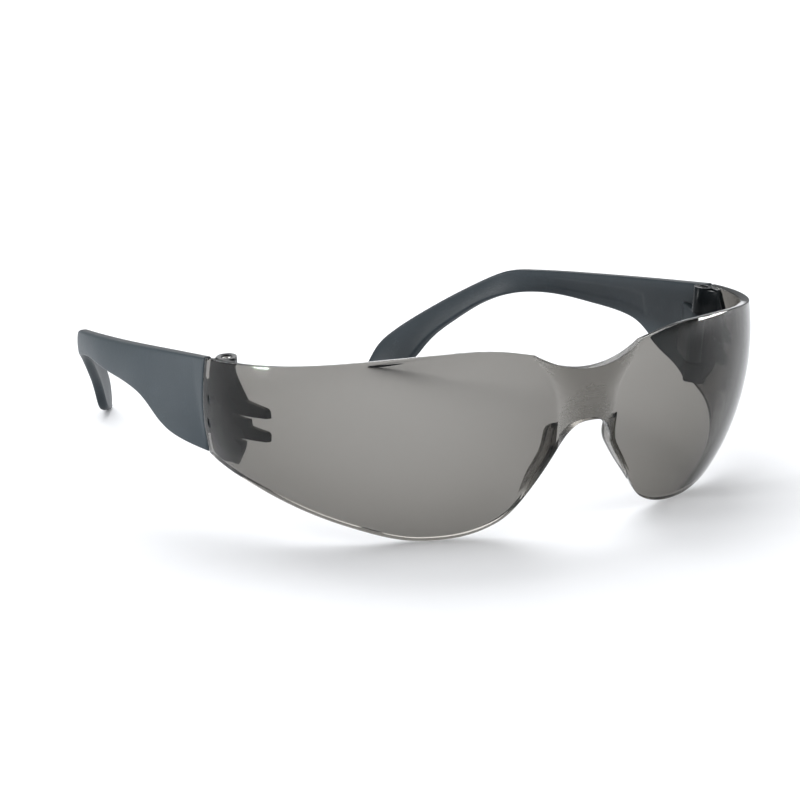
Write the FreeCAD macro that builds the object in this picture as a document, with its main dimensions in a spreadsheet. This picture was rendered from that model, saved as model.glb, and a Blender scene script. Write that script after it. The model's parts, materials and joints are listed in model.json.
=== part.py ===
import FreeCAD, Part
import Sketcher

import math
import os

# Wrap-around safety glasses. Millimetres, +Z up, the wearer faces -Y and their left is +X.
# The glasses stand as on a table: on the low edges of the lens and on the two temple tips.
# Everything is drawn about the hinge line (y = 0 between the two hinges) and is then moved
# forward by hinge_back, so that the origin ends up under the middle of the bounding box.

Vec = FreeCAD.Vector
doc = FreeCAD.newDocument("safety_glasses")

# ---------------------------------------------------------------- driving dimensions

SIZES = [
    ("hinge_back", 36.5, "from the middle of the box forward to the hinge line"),
    # one-piece lens: each eye is a piece of a barrel-shaped surface
    ("lens_thickness", 2.2, "wall of the lens"),
    ("eye_centre", 16.3, "sideways from the middle to the axis of the eye's barrel"),
    ("eye_back", 2.25, "axis of the barrel behind the hinge line"),
    ("eye_height", 36.7, "height at which the barrel is widest"),
    ("plan_radius", 55.1, "widest radius of the barrel, seen from above"),
    ("tall_radius", 62.9, "radius of the barrel's upright section"),
    ("rear_low_angle", 94.0, "turn from straight ahead to the rear edge, at the bottom"),
    ("rear_top_angle", 87.3, "the same at the top"),
    ("crease_low", 20.2, "height where the crease beside the bridge meets the nose cut-out"),
    ("crease_top", 43.5, "height where that crease meets the top edge"),
    ("arch_height", 26.7, "top of the nose arch"),
    ("saddle_height", 39.0, "lowest point of the bridge's top edge"),
    ("bridge_front", 54.0, "front of the bridge ahead of the hinge line"),
    ("bridge_sweep", 0.8, "how much further back the bridge is at the nose arch"),
    ("bridge_thickness", 3.0, "wall of the bridge in the middle"),
    # nose flanges moulded on the back of the lens
    ("flange_top", 26.9, "upper end of a nose flange"),
    ("flange_low", 8.9, "lower end of a nose flange"),
    ("flange_wall", 1.8, "thickness of a flange"),
    ("flange_flare", 0.1, "how far a flange spreads sideways for its depth"),
    # hinge axis: it leans in and back towards its foot, as the rear edge of the lens does
    ("pin_out", 66.6, "axis from the middle, at pin_height"),
    ("pin_back", -2.2, "axis behind the hinge line, at pin_height"),
    ("pin_height", 41.0, "height of the reference point on the axis"),
    ("pin_lean_in", 1.8, "inward lean of the axis over pin_drop"),
    ("pin_lean_back", 1.7, "rearward lean of the axis over pin_drop"),
    ("pin_drop", 23.0, "height over which the lean is measured"),
    ("cap_above", 0.2, "top of the upper knuckle above the reference point"),
    ("upper_length", 6.6, "length of the upper knuckle"),
    ("middle_length", 12.7, "length of the temple's knuckle"),
    ("lower_length", 4.7, "length of the lower knuckle"),
    ("knuckle_gap", 0.25, "axial gap between knuckles"),
    ("cap_radius", 2.4, "radius of the block's knuckles"),
    ("knuckle_radius", 1.8, "radius of the temple's knuckle"),
    ("bore_radius", 0.85, "hole for the screw"),
    # hinge block behind the lens
    ("plate_gap", 0.05, "between the lens and the plate of the block"),
    ("plate_wall", 1.1, "thickness of the plate"),
    ("lug_wide", 1.0, "width of a snap lug, front to back"),
    ("lug_tall", 2.0, "height of a snap lug"),
    ("lug_play", 0.1, "window larger than the lug all round"),
    # hinge screw
    ("screw_radius", 0.8, "shank"),
    ("head_radius", 1.2, "head"),
    ("head_tall", 0.7, "thickness of the head"),
    ("head_sink", 0.9, "depth of the recess for the head"),
    ("screw_length", 23.4, "below the head"),
    ("cross_half", 0.25, "half the width of the screwdriver cross"),
    ("cross_reach", 0.8, "from the middle to the end of an arm of the cross"),
    ("cross_deep", 0.45, "depth of the cross"),
    # temple
    ("seam_gap", 0.35, "between the rear edge of the lens and the temple"),
    ("temple_reach", 127.0, "hinge line to the tip"),
    ("temple_wall", 2.3, "thickness of the blade"),
    ("crown", 0.35, "outward swell of the blade between its edges"),
    ("front_crown", 1.2, "the same at the seam, where it follows the lens"),
    ("crown_fade", 14.0, "distance over which the swell eases"),
]

sheet = doc.addObject("Spreadsheet::Sheet", "sizes")
for row, (alias, value, note) in enumerate(SIZES, start=1):
    sheet.set("A%d" % row, note)
    sheet.set("B%d" % row, str(value))
    sheet.setAlias("B%d" % row, alias)
doc.recompute()


def size(alias):
    return float(sheet.get(alias))


def bind(thing, **links):
    """Ties properties of an object to cells or to sums of cells."""
    for name, formula in links.items():
        thing.setExpression(name, formula)
    return thing


def cells(formula):
    """Turns 'name + name' into a formula on the sheet's cells."""
    words = []
    for word in formula.split():
        plain = word.strip("()-")
        known = any(plain == alias for alias, _, _ in SIZES)
        words.append(word.replace(plain, "sizes." + plain) if known else word)
    return " ".join(words)


# ---------------------------------------------------------------- curves and skins

def curve_through(points):
    """A smooth function through (place, value) points."""
    spline = Part.BSplineCurve()
    spline.interpolate(
        Points=[Vec(place, value, 0) for place, value in points],
        Parameters=[place for place, value in points],
    )
    first, last = points[0][0], points[-1][0]

    def value_at(place):
        return spline.value(min(max(place, first), last)).y

    return value_at


def steps(count, low=0.0, high=1.0):
    return [low + (high - low) * index / count for index in range(count + 1)]


def even_spline(points):
    """A smooth curve through points, which take even steps of its parameter."""
    spline = Part.BSplineCurve()
    spline.interpolate(Points=points, Parameters=steps(len(points) - 1))
    return spline


def surface_through(rows):
    """A smooth surface through rows of points; its borders depend only on their own points."""
    along = [even_spline(row) for row in rows]
    across = [even_spline(list(poles)) for poles in zip(*[spline.getPoles() for spline in along])]
    surface = Part.BSplineSurface()
    surface.buildFromPolesMultsKnots(
        [list(poles) for poles in zip(*[spline.getPoles() for spline in across])],
        across[0].getMultiplicities(), along[0].getMultiplicities(),
        across[0].getKnots(), along[0].getKnots(),
        False, False, across[0].Degree, along[0].Degree,
    )
    return surface


def borders(surface):
    u_low, u_high, v_low, v_high = surface.bounds()
    return {
        "start": surface.uIso(u_low).toShape(),
        "end": surface.uIso(u_high).toShape(),
        "low": surface.vIso(v_low).toShape(),
        "high": surface.vIso(v_high).toShape(),
    }


def skin_faces(outer_rows, inner_rows, open_sides=()):
    """Two facing surfaces with a rim on every side that isn't left open."""
    outer = surface_through(outer_rows)
    inner = surface_through(inner_rows)
    faces = [outer.toShape(), inner.toShape()]
    outer_edges, inner_edges = borders(outer), borders(inner)
    for side in outer_edges:
        if side not in open_sides:
            faces.append(Part.makeRuledSurface(outer_edges[side], inner_edges[side]))
    return faces


def solid_from(faces):
    shell = Part.makeShell(faces)
    shell.sewShape()
    solid = Part.makeSolid(shell)
    if solid.Volume < 0:
        solid.reverse()
    return solid


def feature(name, shape):
    thing = doc.addObject("Part::Feature", name)
    thing.Shape = shape
    return thing


# ---------------------------------------------------------------- lens

# heights of the eye's outline against the share of the way from the crease to the rear edge
LOWER_EDGE = [
    (0, 20.2), (0.068, 9.8), (0.102, 5.6), (0.146, 2.8), (0.205, 1.0), (0.307, 0), (0.412, 0.5),
    (0.513, 2.7), (0.618, 5.5), (0.722, 8.7), (0.824, 12.0), (0.926, 14.8), (1, 16.8),
]
UPPER_EDGE = [(0, 43.5), (0.1, 45.3), (0.2, 45.8), (0.4, 45.0), (0.7, 42.5), (1, 41)]
# half width of the bridge against height
CREASE = [(20.2, 7.3), (28, 7.5), (34, 8.5), (40.3, 12.5), (43.5, 14.4)]

lower_edge = curve_through(LOWER_EDGE)
upper_edge = curve_through(UPPER_EDGE)
crease_width = curve_through(CREASE)


def barrel_drop(height):
    """How much the barrel has narrowed at a height."""
    tall = size("tall_radius")
    return tall - math.sqrt(tall ** 2 - (height - size("eye_height")) ** 2)


def barrel_point(angle, height, depth, side=1):
    """A point under the barrel's surface; the angle turns from straight ahead to the side."""
    tall = size("tall_radius")
    radius = size("plan_radius") - barrel_drop(height)
    outward = (radius - size("plan_radius") + tall) / tall
    upward = (height - size("eye_height")) / tall
    reach = radius - depth * outward
    turn = math.radians(angle)
    x = size("eye_centre") + reach * math.sin(turn)
    y = size("eye_back") - reach * math.cos(turn)
    return Vec(side * x, y, height - depth * upward)


def crease_angle(height):
    radius = size("plan_radius") - barrel_drop(height)
    return math.degrees(math.asin((crease_width(height) - size("eye_centre")) / radius))


def side_height(rise):
    return size("crease_low") + rise * (size("crease_top") - size("crease_low"))


REAR_EDGE_BOW = 1.5


def rear_angle(rise):
    """The rear edge, a slightly bowed line from the low corner to the top."""
    low, top = size("rear_low_angle"), size("rear_top_angle")
    return low + (top - low) * rise - REAR_EDGE_BOW * rise * (1 - rise)


def eye_rows(depth, side):
    rows = []
    for share in steps(36):
        low, top = lower_edge(share), upper_edge(share)
        row = []
        for rise in steps(10):
            start = crease_angle(side_height(rise))
            angle = start + share * (rear_angle(rise) - start)
            row.append(barrel_point(angle, low + rise * (top - low), depth, side))
        rows.append(row)
    return rows


BRIDGE_POWER = 2.6


def bridge_rows(depth, middle_depth):
    """The bridge swells forward between its two creases, with a hollow top edge and an arch."""
    rows = []
    for place in steps(20, -1.0, 1.0):
        swell = 1 - abs(place) ** BRIDGE_POWER
        arch = size("arch_height") - (size("arch_height") - size("crease_low")) * abs(place) ** 3
        saddle = size("saddle_height") + (size("crease_top") - size("saddle_height")) * place ** 2
        row = []
        for rise in steps(10):
            height = side_height(rise)
            edge = barrel_point(crease_angle(height), height, depth)
            front = -size("bridge_front") + size("bridge_sweep") * (1 - rise) + middle_depth
            z = arch + rise * (saddle - arch) + (edge.z - height) * (1 - swell)
            row.append(Vec(place * edge.x, edge.y + (front - edge.y) * swell, z))
        rows.append(row)
    return rows


def lens_wall():
    wall = size("lens_thickness")
    faces = []
    for side in (1, -1):
        faces += skin_faces(eye_rows(0, side), eye_rows(wall, side), open_sides=["start"])
    inner_bridge = bridge_rows(wall, size("bridge_thickness"))
    faces += skin_faces(bridge_rows(0, 0), inner_bridge, open_sides=["start", "end"])
    return solid_from(faces)


# distance of the nose cut-out's edge from the middle, against height
NOSE_EDGE = [(8.9, 14.5), (13.7, 11.4), (17.4, 9.0), (20.2, 7.5), (23.8, 7.1), (27.7, 7.2)]
# reach of a flange from the middle of the lens wall, against height
FLANGE_REACH = [
    (8.9, 0.3), (11.5, 1.8), (14.7, 3.3), (18.0, 3.7), (22.3, 3.8), (24.6, 3.4), (26.1, 2.2), (26.9, 0.6),
]
nose_edge = curve_through(NOSE_EDGE)
flange_reach = curve_through(FLANGE_REACH)


def nose_flange(side):
    """A curved fin behind the edge of the nose cut-out, deepest near its top."""
    nose_rows, eye_side_rows = [], []
    for share in steps(16):
        height = size("flange_top") + share * (size("flange_low") - size("flange_top"))
        x = nose_edge(height)
        radius = size("plan_radius") - barrel_drop(height)
        wall_middle = size("lens_thickness") / 2
        y = size("eye_back") - math.sqrt(radius ** 2 - (x - size("eye_centre")) ** 2) + wall_middle
        depth = flange_reach(height)
        spread = size("flange_flare") * depth
        start, end = Vec(side * x, y, height), Vec(side * (x + spread), y + depth, height)
        across = Vec(side * size("flange_wall"), 0, 0)
        nose_rows.append([start + (end - start) * part for part in steps(4)])
        eye_side_rows.append([point + across for point in nose_rows[-1]])
    return solid_from(skin_faces(nose_rows, eye_side_rows))


# height, and distance behind the hinge line, of the windows for the snap lugs
LUGS = [(31.4, -1.2), (25.4, 0.8)]


def lug_box(name, height, back, play):
    """A small box through the side of the lens."""
    box = doc.addObject("Part::Box", name)
    grow = " + 2 * lug_play" if play else ""
    bind(box, Width=cells("lug_wide" + grow), Height=cells("lug_tall" + grow))
    box.Length = 4.2 if play else 2.6
    doc.recompute()
    outer = barrel_point(90, height, 0).x
    reach = 1.0 if play else -0.25
    box.Placement.Base = Vec(
        outer + reach - box.Length.Value,
        back - box.Width.Value / 2,
        height - box.Height.Value / 2,
    )
    return box


def joined(name, pieces):
    fuse = doc.addObject("Part::MultiFuse", name)
    fuse.Shapes = pieces
    return fuse


def cut(name, base, tool):
    result = doc.addObject("Part::Cut", name)
    result.Base = base
    result.Tool = tool
    return result


def common(name, base, tool):
    result = doc.addObject("Part::Common", name)
    result.Base = base
    result.Tool = tool
    return result


def mirrored(name, source):
    mirror = doc.addObject("Part::Mirroring", name)
    mirror.Source = source
    mirror.Base = Vec(0, 0, 0)
    mirror.Normal = Vec(1, 0, 0)
    return mirror


def finished(thing, label):
    """Names a sub-part and moves it forward to the document's origin."""
    thing.Label = label
    thing.setExpression(".Placement.Base.y", cells("-hinge_back"))
    return thing


def make_lens():
    pieces = [feature("lens_wall", lens_wall())]
    for name, side in (("flange_left", 1), ("flange_right", -1)):
        pieces.append(feature(name, nose_flange(side)))
    blank = joined("lens_blank", pieces)
    windows = []
    for number, (height, back) in enumerate(LUGS, start=1):
        window = lug_box("window_%d" % number, height, back, play=True)
        windows += [window, mirrored("window_%d_right" % number, window)]
    return finished(cut("lens_cut", blank, joined("lens_windows", windows)), "lens")


# ---------------------------------------------------------------- hinge axis

def pin_axis():
    lean = Vec(size("pin_lean_in"), -size("pin_lean_back"), size("pin_drop"))
    return lean.normalize()


def pin_placement(along=0.0, side=1, moved=0.0):
    """A frame on the hinge axis, its Z up the axis, a distance above the reference point."""
    axis = pin_axis()
    place = Vec(size("pin_out"), size("pin_back"), size("pin_height")) + axis * along
    axis = Vec(side * axis.x, axis.y, axis.z)
    place = Vec(side * place.x, place.y + moved, place.z)
    return FreeCAD.Placement(place, FreeCAD.Rotation(Vec(0, 0, 1), axis))


def pin_cylinder(name, foot, radius, length):
    """A cylinder on the hinge axis; foot is where it starts, from the reference point."""
    cylinder = doc.addObject("Part::Cylinder", name)
    bind(cylinder, Radius=cells(radius), Height=cells(length))
    cylinder.Placement = pin_placement(foot)
    return cylinder


def pin_prism(name, corners, foot, length):
    """A straight block along the hinge axis, drawn by its corners around the axis."""
    wire = Part.makePolygon([Vec(x, y, 0) for x, y in corners + corners[:1]])
    outline = feature(name + "_outline", Part.Face(wire))
    prism = doc.addObject("Part::Extrusion", name)
    prism.Base = outline
    prism.Dir = Vec(0, 0, 1)
    prism.DirMode = "Custom"
    prism.Solid = True
    bind(prism, LengthFwd=cells(length))
    prism.Placement = pin_placement(foot)
    return prism


UPPER_FOOT = size("cap_above") - size("upper_length")
MIDDLE_FOOT = UPPER_FOOT - size("knuckle_gap") - size("middle_length")
LOWER_FOOT = MIDDLE_FOOT - size("knuckle_gap") - size("lower_length")


# ---------------------------------------------------------------- hinge block

# side view of the plate: (behind the hinge line, height), with the two spring fingers
PLATE_OUTLINE = [
    (-0.9, 41.0), (-7.4, 41.0), (-12.5, 33.0), (-18.0, 31.8), (-18.5, 31.2), (-18.4, 29.5),
    (-8.3, 29.2), (-8.3, 28.8), (-12.7, 28.6), (-12.6, 27.0), (-17.2, 26.2), (-17.6, 25.6),
    (-17.0, 23.8), (-6.6, 23.5), (-6.6, 23.1), (-9.5, 22.8), (-8.4, 20.9), (-7.0, 19.4),
    (-4.9, 17.7), (-2.4, 16.6), (0.8, 16.3), (3.2, 16.8), (4.7, 17.8), (4.9, 18.6), (4.0, 21.5), (3.2, 23.8),
    (1.8, 29.0), (0.8, 33.0),
]
# plan view of the gusset between a knuckle and the plate, about the hinge axis
GUSSET = [(-2.0, -0.3), (-1.0, -2.8), (1.6, -6.5), (4.2, -6.5), (4.2, -0.6), (0, 0)]
# plan view of the space that the temple's web takes behind the plate, about the hinge axis
WEB_ROOM = [(-2.1, 0), (1.2, 0), (1.2, 2.7), (2.15, 5.4), (2.15, 12), (-2.1, 12)]


def barrel_section(name, outer_depth, inner_depth):
    """Upright section of a shell that follows the inside of the lens, with its axis as Z."""
    low, top = 10.0, 50.0
    centre = size("plan_radius") - size("tall_radius")

    def arc(depth):
        radius = size("tall_radius") - depth
        ends = []
        for z in (low, (low + top) / 2, top):
            rise = z - size("eye_height")
            ends.append(Vec(centre + math.sqrt(radius ** 2 - rise ** 2), 0, z))
        return ends

    outer = Part.Arc(*arc(outer_depth)).toShape()
    if inner_depth is None:
        back = [Vec(0, 0, low), Vec(0, 0, top)]
        inner = Part.makeLine(*back)
    else:
        back = arc(inner_depth)[::2]
        inner = Part.Arc(*arc(inner_depth)).toShape()
    front = arc(outer_depth)[::2]
    sides = [Part.makeLine(back[0], front[0]), Part.makeLine(back[1], front[1])]
    wire = Part.Wire(Part.__sortEdges__([outer, inner] + sides))
    return feature(name, Part.Face(wire))


def barrel_shell(name, outer_depth, inner_depth=None):
    """The section turned about the eye's axis, past the side of the lens."""
    section = barrel_section(name + "_section", outer_depth, inner_depth)
    shell = doc.addObject("Part::Revolution", name)
    shell.Source = section
    shell.Axis = Vec(0, 0, 1)
    shell.Angle = 100.0
    shell.Symmetric = True
    shell.Solid = True
    shell.Placement.Base = Vec(size("eye_centre"), size("eye_back"), 0)
    return shell


def make_hinge_block():
    clear = size("lens_thickness") + size("plate_gap")
    outline = Part.makePolygon([Vec(40, y, z) for y, z in PLATE_OUTLINE + PLATE_OUTLINE[:1]])
    side_view = doc.addObject("Part::Extrusion", "plate_side_view")
    side_view.Base = feature("plate_outline", Part.Face(outline))
    side_view.Dir = Vec(1, 0, 0)
    side_view.DirMode = "Custom"
    side_view.LengthFwd = 40.0
    side_view.Solid = True
    plate = common("plate", barrel_shell("plate_shell", clear, clear + size("plate_wall")), side_view)

    pieces = [plate]
    for name, foot, length in (
        ("upper", UPPER_FOOT, "upper_length"),
        ("lower", LOWER_FOOT, "lower_length"),
    ):
        pieces.append(pin_cylinder(name + "_knuckle", foot, "cap_radius", length))
    gusset_length = "upper_length - cap_above - cap_above"
    pieces.append(pin_prism("upper_gusset", GUSSET, UPPER_FOOT, gusset_length))
    pieces.append(pin_prism("lower_gusset", GUSSET, LOWER_FOOT, "lower_length"))
    inside_lens = barrel_shell("inside_of_lens", clear)
    blank = common("block_blank", joined("block_rough", pieces), inside_lens)

    with_lugs = [blank]
    for number, (height, back) in enumerate(LUGS, start=1):
        with_lugs.append(lug_box("lug_%d" % number, height, back, play=False))
    bore = pin_cylinder("block_bore", LOWER_FOOT - 1, "bore_radius", "screw_length + cap_above + 5")
    seat = size("cap_above") - size("head_sink")
    sink = pin_cylinder("head_recess", seat, "head_radius + 0.05", "head_sink + 0.5")
    swing = pin_cylinder("knuckle_room", MIDDLE_FOOT - size("knuckle_gap"),
                         "knuckle_radius + knuckle_gap", "middle_length + 2 * knuckle_gap")
    web_room = pin_prism("web_room", WEB_ROOM, MIDDLE_FOOT - size("knuckle_gap"),
                         "middle_length + 2 * knuckle_gap")
    tools = joined("block_tools", [bore, sink, swing, web_room])
    return finished(cut("block_cut", joined("block_with_lugs", with_lugs), tools), "hinge_block_left")


# ---------------------------------------------------------------- temple

# outer face of the blade along its upper and its lower edge: (behind the hinge line, from the middle)
HOOK_PLAN = [(96, 60.9), (104, 56.0), (112, 50.9), (120, 45.8), (127, 41.9)]
UPPER_PLAN = [(0, 71.3), (24, 70.9), (48, 70.1), (64, 68.9), (80, 66.9), (88, 65.0)] + HOOK_PLAN
LOWER_PLAN = [
    (6, 68.2), (14, 70.8), (24, 72.2), (36, 72.6), (48, 72.0), (64, 70.5), (76, 68.2), (88, 65.0),
] + HOOK_PLAN
# the same two edges in the side view: (behind the hinge line, height)
BLADE_TOP = [
    (0, 41.2), (24, 38.8), (48, 36.3), (72, 33.8), (80, 32.9), (88, 31.4), (96, 27.5), (104, 22.6),
    (112, 17.1), (120, 10.8), (124, 6.3), (126, 2.8), (127, 1.0),
]
BLADE_LOW = [
    (6, 16.9), (16, 18.7), (24, 20.9), (32, 24.9), (40, 26.7), (56, 27.3), (72, 27.4), (80, 26.6),
    (88, 24.9), (96, 21.4), (104, 15.5), (112, 7.5), (114.5, 4.1), (117, 2.2), (120, 1.2), (124, 0.3),
    (127, 0),
]
# plan view of the web between the knuckle and the blade, about the hinge axis
WEB = [(-1.8, 0.3), (0.9, 0.3), (0.9, 2.8), (1.8, 5.6), (4.0, 6.6), (4.0, 12), (2.8, 12), (-1.2, 2.4)]

upper_plan = curve_through(UPPER_PLAN)
lower_plan = curve_through(LOWER_PLAN)
blade_top = curve_through(BLADE_TOP)
blade_low = curve_through(BLADE_LOW)


def blade_outside(y, rise):
    """Outer face from the middle; it is crowned, most of all where it meets the lens."""
    crown = size("crown") + (size("front_crown") - size("crown")) * math.exp(-y / size("crown_fade"))
    level = lower_plan(y) + rise * (upper_plan(y) - lower_plan(y))
    return level + 4 * crown * rise * (1 - rise)


def blade_point(y, rise, depth_share):
    step = 0.5
    slope = (blade_outside(y + step, rise) - blade_outside(y - step, rise)) / (2 * step)
    inward = size("temple_wall") * depth_share * math.hypot(1, slope)
    z = max(0, blade_low(y)) + rise * (blade_top(y) - max(0, blade_low(y)))
    return Vec(blade_outside(y, rise) - inward, y, z)


def blade_rows(depth_share):
    """Rows from the seam beside the lens to the tip."""
    rows = []
    for share in steps(52):
        row = []
        for rise in steps(8):
            seam_height = blade_low(0) + rise * (blade_top(0) - blade_low(0))
            seam = barrel_point(rear_angle(rise), seam_height, 0).y + size("seam_gap")
            y = seam + share * (size("temple_reach") - seam)
            row.append(blade_point(y, rise, depth_share))
        rows.append(row)
    return rows


def make_temple():
    blade = feature("blade", solid_from(skin_faces(blade_rows(0), blade_rows(1))))
    knuckle = pin_cylinder("temple_knuckle", MIDDLE_FOOT, "knuckle_radius", "middle_length")
    web = pin_prism("temple_web", WEB, MIDDLE_FOOT, "middle_length")
    blank = joined("temple_blank", [blade, knuckle, web])
    bore = pin_cylinder("temple_bore", MIDDLE_FOOT - 1, "bore_radius", "middle_length + 2")
    return finished(cut("temple_cut", blank, bore), "temple_left")


# ---------------------------------------------------------------- hinge screw

def origin_plane(body, role):
    for item in body.Origin.OriginFeatures:
        if item.Role == role:
            return item
    raise ValueError(role)


def corner_sketch(body, name, role, corners):
    """A closed sketch; each corner is two cell names, '-' before a name turns its sign."""
    sketch = body.newObject("Sketcher::SketchObject", name)
    sketch.AttachmentSupport = (origin_plane(body, role), [""])
    sketch.MapMode = "FlatFace"

    def number(word):
        if not word:
            return 0.0
        return -size(word[1:]) if word.startswith("-") else size(word)

    points = [Vec(number(across), number(up), 0) for across, up in corners]
    count = len(points)
    for index in range(count):
        sketch.addGeometry(Part.LineSegment(points[index], points[(index + 1) % count]), False)
    for index in range(count):
        following = (index + 1) % count
        sketch.addConstraint(Sketcher.Constraint("Coincident", index, 2, following, 1))
    for index, corner in enumerate(corners):
        for word, kind, axis in ((corner[0], "DistanceX", -2), (corner[1], "DistanceY", -1)):
            if not word:
                sketch.addConstraint(Sketcher.Constraint("PointOnObject", index, 1, axis))
                continue
            made = sketch.addConstraint(Sketcher.Constraint(kind, -1, 1, index, 1, number(word)))
            sketch.setExpression("Constraints[%d]" % made, cells(word))
    return sketch


def make_hinge_screw(label, side):
    """A small machine screw whose head lies on top of the upper knuckle."""
    body = doc.addObject("PartDesign::Body", label + "_body")
    profile = corner_sketch(body, label + "_profile", "XZ_Plane", [
        ("", "-screw_length"), ("screw_radius", "-screw_length"), ("screw_radius", ""),
        ("head_radius", ""), ("head_radius", "head_tall"), ("", "head_tall"),
    ])
    turned = body.newObject("PartDesign::Revolution", label + "_turned")
    turned.Profile = profile
    turned.ReferenceAxis = (profile, ["V_Axis"])
    turned.Angle = 360.0
    doc.recompute()
    plain_volume = body.Shape.Volume

    half, reach = "cross_half", "cross_reach"
    quarter = [(half, reach), (half, half), (reach, half)]
    lower = [(x, "-" + y) for x, y in reversed(quarter)]
    right_arms = quarter + lower
    left_arms = [("-" + x, y) for x, y in reversed(right_arms)]
    cross = corner_sketch(body, label + "_cross", "XY_Plane", right_arms + left_arms)
    cross.setExpression(".AttachmentOffset.Base.z", cells("head_tall"))
    pocket = body.newObject("PartDesign::Pocket", label + "_pocket")
    pocket.Profile = cross
    bind(pocket, Length=cells("cross_deep"))
    doc.recompute()
    if body.Shape.Volume >= plain_volume:
        raise RuntimeError("the cross of %s cuts nothing" % label)
    body.Label = label
    seat = size("cap_above") - size("head_sink")
    body.Placement = pin_placement(seat, side, -size("hinge_back"))
    return body


# ---------------------------------------------------------------- the whole object

def make_glasses():
    block = make_hinge_block()
    temple = make_temple()
    return [
        make_lens(),
        block,
        finished_mirror(block, "hinge_block_right"),
        temple,
        finished_mirror(temple, "temple_right"),
        make_hinge_screw("hinge_screw_left", 1),
        make_hinge_screw("hinge_screw_right", -1),
    ]


def finished_mirror(source, label):
    mirror = mirrored(label + "_mirror", source)
    mirror.Label = label
    return mirror


def check_and_export(sub_parts):
    doc.recompute()
    for thing in doc.Objects:
        if "Invalid" in thing.State or "Error" in thing.State:
            raise RuntimeError("%s failed: %s" % (thing.Label, thing.State))
    os.makedirs("parts", exist_ok=True)
    for thing in sub_parts:
        shape = thing.Shape
        if shape.isNull() or not shape.isValid() or shape.Volume <= 0:
            raise RuntimeError("%s has no valid solid" % thing.Label)
    whole = Part.makeCompound([thing.Shape for thing in sub_parts]).BoundBox
    for thing in sub_parts:
        thing.Shape.exportStep("parts/%s.step" % thing.Label)
        print(thing.Label, len(thing.Shape.Solids), "solid,", round(thing.Shape.Volume, 1), "mm3")
    print("box x", round(whole.XMin, 2), round(whole.XMax, 2), "y", round(whole.YMin, 2),
          round(whole.YMax, 2), "z", round(whole.ZMin, 2), round(whole.ZMax, 2))


check_and_export(make_glasses())
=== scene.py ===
# %% [markdown]
# # Wrap-around safety glasses
#
# These glasses are one bent sheet of smoke polycarbonate that is lens, frame and nose piece in
# one, two dark moulded arms, and a small moulded hinge block with a long screw at each side.
# The lesson takes the measured model as a fixed frame and gives each piece its real finish:
# rounded rims, a crisp crease beside the bridge, satin plastic and bright steel.

# %% load the fixed frame
import json
import math

import bmesh
import bpy
from mathutils import Matrix, Vector


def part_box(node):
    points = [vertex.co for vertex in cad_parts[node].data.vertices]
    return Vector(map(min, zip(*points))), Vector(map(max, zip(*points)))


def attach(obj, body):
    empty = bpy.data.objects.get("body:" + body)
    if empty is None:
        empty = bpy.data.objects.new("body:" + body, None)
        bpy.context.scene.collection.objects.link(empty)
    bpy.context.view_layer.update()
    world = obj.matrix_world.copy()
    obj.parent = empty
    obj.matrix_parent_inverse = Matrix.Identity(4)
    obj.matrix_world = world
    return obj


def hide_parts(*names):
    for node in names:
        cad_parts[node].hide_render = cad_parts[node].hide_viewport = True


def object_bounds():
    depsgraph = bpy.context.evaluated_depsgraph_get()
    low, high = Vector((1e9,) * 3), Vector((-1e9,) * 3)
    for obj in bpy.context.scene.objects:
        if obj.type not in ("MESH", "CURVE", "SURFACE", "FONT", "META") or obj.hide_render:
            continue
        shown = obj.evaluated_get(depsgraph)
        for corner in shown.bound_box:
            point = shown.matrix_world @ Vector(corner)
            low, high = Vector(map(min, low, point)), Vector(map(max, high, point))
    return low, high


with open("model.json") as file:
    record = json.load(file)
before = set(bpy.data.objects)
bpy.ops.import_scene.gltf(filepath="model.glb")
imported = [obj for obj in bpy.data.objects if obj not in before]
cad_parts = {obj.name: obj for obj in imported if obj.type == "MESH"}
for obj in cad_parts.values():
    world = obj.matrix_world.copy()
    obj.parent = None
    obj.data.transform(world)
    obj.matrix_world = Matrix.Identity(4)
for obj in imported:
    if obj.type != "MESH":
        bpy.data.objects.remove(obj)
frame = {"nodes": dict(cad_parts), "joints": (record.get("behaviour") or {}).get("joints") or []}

cad_low, cad_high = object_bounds()
print("frame box in mm:", [round(1000 * v, 1) for v in (cad_high - cad_low)])

# %% [markdown]
# ## Where things are
#
# Everything below is drawn in millimetres about the hinge line: the line across the glasses at
# the side of the lens. The arms reach a known distance behind that line, so their tips in the
# frame say where it lies. One helper turns such millimetres into the frame's metres.

# %% the hinge line and the joints
TEMPLE_REACH = 127.0
hinge_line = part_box("temple_left")[1][1] - TEMPLE_REACH / 1000
JOINTS = {joint["name"]: joint for joint in frame["joints"]}
MM = 0.001


def placed(x, y, z):
    """Millimetres about the hinge line to metres in the frame."""
    return Vector((x * MM, y * MM + hinge_line, z * MM))


print("hinge line at y =", round(hinge_line / MM, 2), "mm; joints:", ", ".join(JOINTS))

# %% [markdown]
# ## The camera
#
# The glasses are looked at from their right side, a little above, with a long lens so that the
# two sides stay in proportion. Azimuth, elevation and roll give the direction; two small shifts
# across the view put the glasses where they sit in the picture.

# %% camera
CAMERA = {
    "azimuth": -29.041, "elevation": 13.475, "roll": -1.67,
    "distance": 731.04, "aside": -18.21, "above": 20.39,
    "focal": 134.85, "sensor": 36.0,
}


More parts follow.
